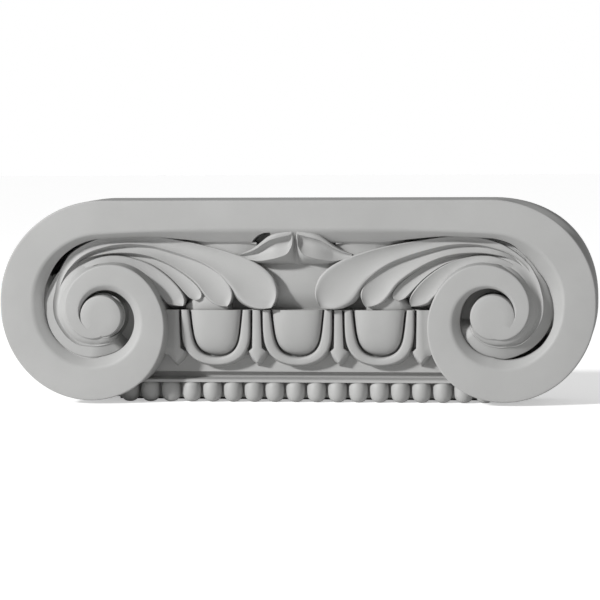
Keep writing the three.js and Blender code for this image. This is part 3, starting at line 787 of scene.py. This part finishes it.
def central_lobe():
    """Right half of the central leaf: rolled rim, hollow, groove at the fold and sloping underside."""
    rings = []
    for x, top, low in spline(CENTRAL_OUTLINE, 56):
        fade = min(1, (top - low) / 9)
        front = 0.5 + 5.5 * smooth(x, 9, 31)
        groove = 2.6 * smooth(x, 1.6, 0)
        foot = mix(CENTRAL_FOOT, low - 1.4, smooth(x, 19, 31))
        ring = []
        for share in np.linspace(0, 1, 27):
            rim = 1.1 * max(0, 1 - share / 0.1) ** 2
            dip = min(max((share - 0.2) / 0.8, 0), 1)
            hollow = 3.6 * math.sin(math.pi * dip ** 0.65) * smooth(x, 0.4, 3.5)
            behind = front + groove + hollow * fade + rim + 1.4 * share
            ring.append((x, behind, mix(top, low, share)))
        start = front + groove + 2.3
        for share in (0.03, 0.14, 0.28, 0.42, 0.56, 0.7, 0.85, 1):
            ring.append((x, mix(start, 12.6, share ** 1.45), mix(low - 0.1, foot, share)))
        ring += [(x, LEDGE_BACK, foot - 0.2), (x, LEDGE_BACK, top + 0.3)]
        rings.append(ring)
    return loft(rings)


# Corners of the gap beside the left half of the central leaf, and its size by depth
POCKET_OUTLINE = [(-13.5, 95.2), (-17, 95), (-20.4, 93.8), (-23.4, 91.4), (-25.4, 88.6), (-24.4, 86.8),
                  (-20, 87), (-13, 91)]
POCKET_SIZES = [(-1, 1.0), (4, 0.98), (8, 0.92), (16, 0.8)]


def pocket():
    outline = np.array(POCKET_OUTLINE)
    middle = outline.mean(axis=0)
    rings = []
    for behind, size in POCKET_SIZES:
        spots = middle + (outline - middle) * size
        rings.append([(x, behind, z) for x, z in spots])
    return loft(rings)


# How much further the front blade's edge stands out on the left, by distance from the middle,
# and its depths there
LEFT_EDGE_LIFTS = [(48, 0), (67, 0.8), (88, 0.8), (102, 1.4), (112, 2.3), (121, 3), (126, 3),
                   (130, 2.2), (134, 0.4)]
LEFT_BLADE_DEPTHS = [7.2, 6.4, 6.4, 6.8, 7.8, 8.2, 6.5, 4.8]


def left_blade(blade):
    """The front blade on the left, fuller beside the slot."""
    lifted = []
    for x, z in blade["outer"]:
        away = Vector((max(x - EYE_X, 0), z - EYE_Z)).normalized() * read_off(x, LEFT_EDGE_LIFTS)
        lifted.append((x + away.x, z + away.y))
    return mirrored(lobe(**dict(blade, outer=lifted, depths=LEFT_BLADE_DEPTHS)))


def slot_cut(side):
    """Deep gap between the foot of the splay and the leaf or stem beside it, built on the right."""
    rings = []
    start, end = DEEP_SLOT[side]
    for quarters in np.linspace(start, end, 40):
        foot = inner_radius(max(quarters, 0)) - wall_run(max(quarters, 0), side)
        gap = read_off(quarters, SLOT_WIDTHS[side]) * smooth(quarters, start, start + 0.08)
        gap *= smooth(quarters, end, end - 0.1)
        inside, outside = foot - max(gap, 0.1) + 0.3, foot + 2
        section = [(inside, SLOT_CUT_FRONT), (outside, SLOT_CUT_FRONT), (outside, SLOT_CUT_BACK),
                   (inside, SLOT_CUT_BACK)]
        rings.append([on_volute(quarters, radius, behind) for radius, behind in section])
    return loft(rings)


# Joining
def mesh_object(name, solid):
    corners, faces = solid
    mesh = bpy.data.meshes.new(name)
    placed = (corners + (0, FRONT, 0)) * MM
    mesh.from_pydata(placed.tolist(), [], faces)
    mesh.update()
    piece = bpy.data.objects.new(name, mesh)
    bpy.context.scene.collection.objects.link(piece)
    return piece


def join(piece, solid, operation="UNION"):
    """Fuses a closed solid with the piece, or cuts it out of it."""
    other = mesh_object("joining", solid)
    union = piece.modifiers.new("union", "BOOLEAN")
    union.operation = operation
    union.solver = "MANIFOLD"
    union.object = other
    joined = piece.evaluated_get(bpy.context.evaluated_depsgraph_get())
    whole = bpy.data.meshes.new_from_object(joined)
    piece.modifiers.clear()
    piece.data = whole
    bpy.data.objects.remove(other)


def capital():
    piece = mesh_object("capital_moulding", band())
    join(piece, pocket(), "DIFFERENCE")
    eggs = [(i - (EGG_COUNT - 1) / 2) * EGG_PITCH for i in range(EGG_COUNT)]
    darts = [(i - EGG_COUNT / 2) * EGG_PITCH for i in range(EGG_COUNT + 1)]
    parts = [body(), ledge(), bell(), lower_mouldings(), neck(), beads(), both_sides(web()),
             eye(EYE_RADIUS), mirrored(eye(LEFT_EYE_RADIUS)), canal_floor(1),
             mirrored(canal_floor(-1)), both_sides(volute_core()), both_sides(tip_ground())]
    parts += [together([lobe(**BLADES[0]), left_blade(BLADES[0])])]
    parts += [both_sides(lobe(**blade)) for blade in BLADES[1:]]
    parts += [central_lobe(), mirrored(central_lobe()), together([egg(x) for x in eggs]),
              together([shell(x) for x in eggs]), together([dart(x) for x in darts[1:-1]]),
              dart(darts[0], -1), dart(darts[-1], 1)]
    for part in parts:
        join(piece, part)
    join(piece, mirrored(slot_cut(-1)), "DIFFERENCE")
    join(piece, slot_cut(1), "DIFFERENCE")
    piece.data.shade_smooth()
    piece.data.set_sharp_from_angle(angle=math.radians(SHARP_ANGLE))
    return piece


# Primer
def primer_material():
    material = bpy.data.materials.new("factory_primer")
    material.use_nodes = True
    nodes = material.node_tree.nodes
    links = material.node_tree.links
    shader = nodes["Principled BSDF"]
    shader.inputs["Roughness"].default_value = 0.55
    shader.inputs["Specular IOR Level"].default_value = 0.35
    place = nodes.new("ShaderNodeTexCoord")
    mottle = nodes.new("ShaderNodeTexNoise")
    mottle.inputs["Scale"].default_value = 35
    mottle.inputs["Detail"].default_value = 4
    links.new(place.outputs["Object"], mottle.inputs["Vector"])
    tone = nodes.new("ShaderNodeValToRGB")
    tone.color_ramp.elements[0].position = 0.3
    tone.color_ramp.elements[0].color = (0.345, 0.345, 0.34, 1)
    tone.color_ramp.elements[1].position = 0.7
    tone.color_ramp.elements[1].color = (0.375, 0.375, 0.37, 1)
    links.new(mottle.outputs["Fac"], tone.inputs["Fac"])
    links.new(tone.outputs["Color"], shader.inputs["Base Color"])
    grain = nodes.new("ShaderNodeTexNoise")
    grain.inputs["Scale"].default_value = 900
    grain.inputs["Detail"].default_value = 3
    links.new(place.outputs["Object"], grain.inputs["Vector"])
    bump = nodes.new("ShaderNodeBump")
    bump.inputs["Strength"].default_value = 0.08
    bump.inputs["Distance"].default_value = 0.0003
    links.new(grain.outputs["Fac"], bump.inputs["Height"])
    links.new(bump.outputs["Normal"], shader.inputs["Normal"])
    return material


piece = capital()
piece.data.materials.clear()
piece.data.materials.append(primer_material())
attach(piece, "root")
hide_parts(NODE)


# Floor, light and camera
FLOOR_HALF = 6.0
FLOOR_GLOW = 0.45
SUN_DIRECTION = (1, 0.94, -0.6)
SUN_SOFTNESS = 4.5
SUN_STRENGTH = 2.3
LAMP_PLACE = (-1.35, -1.16, 0.82)
LAMP_TARGET = (-0.08, 0, 0.06)
LAMP_SIZE = 0.24
LAMP_POWER = 16.5
ROOM_STRENGTH = 0.3


def pale_material(name, colour, glow):
    """Plain pale sheet that looks lighter to the camera than it lights the piece."""
    material = bpy.data.materials.new(name)
    material.use_nodes = True
    nodes = material.node_tree.nodes
    links = material.node_tree.links
    shader = nodes["Principled BSDF"]
    shader.inputs["Base Color"].default_value = (*colour, 1)
    shader.inputs["Roughness"].default_value = 0.9
    shader.inputs["Emission Color"].default_value = (1, 1, 1, 1)
    path = nodes.new("ShaderNodeLightPath")
    seen = nodes.new("ShaderNodeMath")
    seen.operation = "MULTIPLY"
    seen.inputs[1].default_value = glow
    links.new(path.outputs["Is Camera Ray"], seen.inputs[0])
    links.new(seen.outputs["Value"], shader.inputs["Emission Strength"])
    return material


def floor():
    mesh = bpy.data.meshes.new("floor")
    half = FLOOR_HALF
    corners = [(-half, -half, 0), (half, -half, 0), (half, half, 0), (-half, half, 0)]
    mesh.from_pydata(corners, [], [(0, 1, 2, 3)])
    sheet = bpy.data.objects.new("floor", mesh)
    bpy.context.scene.collection.objects.link(sheet)
    mesh.materials.append(pale_material("pale_floor", (0.9, 0.9, 0.9), FLOOR_GLOW))


def surroundings(strength):
    """Dim all-round light, against a white backdrop."""
    world = bpy.data.worlds.new("studio")
    bpy.context.scene.world = world
    world.use_nodes = True
    nodes = world.node_tree.nodes
    links = world.node_tree.links
    backdrop = nodes.new("ShaderNodeBackground")
    backdrop.inputs["Color"].default_value = (1, 1, 1, 1)
    room = nodes["Background"]
    room.inputs["Color"].default_value = (1, 1, 1, 1)
    room.inputs["Strength"].default_value = strength
    path = nodes.new("ShaderNodeLightPath")
    either = nodes.new("ShaderNodeMixShader")
    links.new(path.outputs["Is Camera Ray"], either.inputs["Fac"])
    links.new(room.outputs["Background"], either.inputs[1])
    links.new(backdrop.outputs["Background"], either.inputs[2])
    links.new(either.outputs["Shader"], nodes["World Output"].inputs["Surface"])


def sun(direction, softness, strength):
    light = bpy.data.lights.new("key", "SUN")
    light.angle = math.radians(softness)
    light.energy = strength
    holder = bpy.data.objects.new("key", light)
    holder.rotation_euler = Vector(direction).to_track_quat("-Z", "Y").to_euler()
    bpy.context.scene.collection.objects.link(holder)


def side_light(place, size, power):
    """Round lamp to the left, which makes the light fall off a little along the piece."""
    light = bpy.data.lights.new("side_lamp", "AREA")
    light.shape = "DISK"
    light.size = size
    light.energy = power
    holder = bpy.data.objects.new("side_lamp", light)
    holder.location = place
    toward = Vector(LAMP_TARGET) - Vector(place)
    holder.rotation_euler = toward.to_track_quat("-Z", "Y").to_euler()
    bpy.context.scene.collection.objects.link(holder)


AZIMUTH = 7.1
ELEVATION = 3.65
ROLL = -0.34
DISTANCE = 1.6
FOCAL_PIXELS = 2914.4
FRAME_PIXELS = 600.0
AIM = (0.003, FRONT * MM, 0.05813)


def camera():
    lens = bpy.data.cameras.new("camera")
    lens.sensor_width = 36
    lens.lens = FOCAL_PIXELS / FRAME_PIXELS * 36
    lens.clip_end = 30
    holder = bpy.data.objects.new("camera", lens)
    turn, rise = math.radians(AZIMUTH), math.radians(ELEVATION)
    back = Vector((math.sin(turn) * math.cos(rise), -math.cos(turn) * math.cos(rise), math.sin(rise)))
    holder.location = Vector(AIM) + back * DISTANCE
    look = (-back).to_track_quat("-Z", "Y").to_matrix()
    holder.rotation_euler = look.to_euler()
    holder.rotation_euler.rotate_axis("Z", math.radians(ROLL))
    bpy.context.scene.collection.objects.link(holder)
    bpy.context.scene.camera = holder


floor()
sun(SUN_DIRECTION, SUN_SOFTNESS, SUN_STRENGTH)
side_light(LAMP_PLACE, LAMP_SIZE, LAMP_POWER)
surroundings(ROOM_STRENGTH)
camera()
bpy.context.scene.view_settings.view_transform = "Standard"
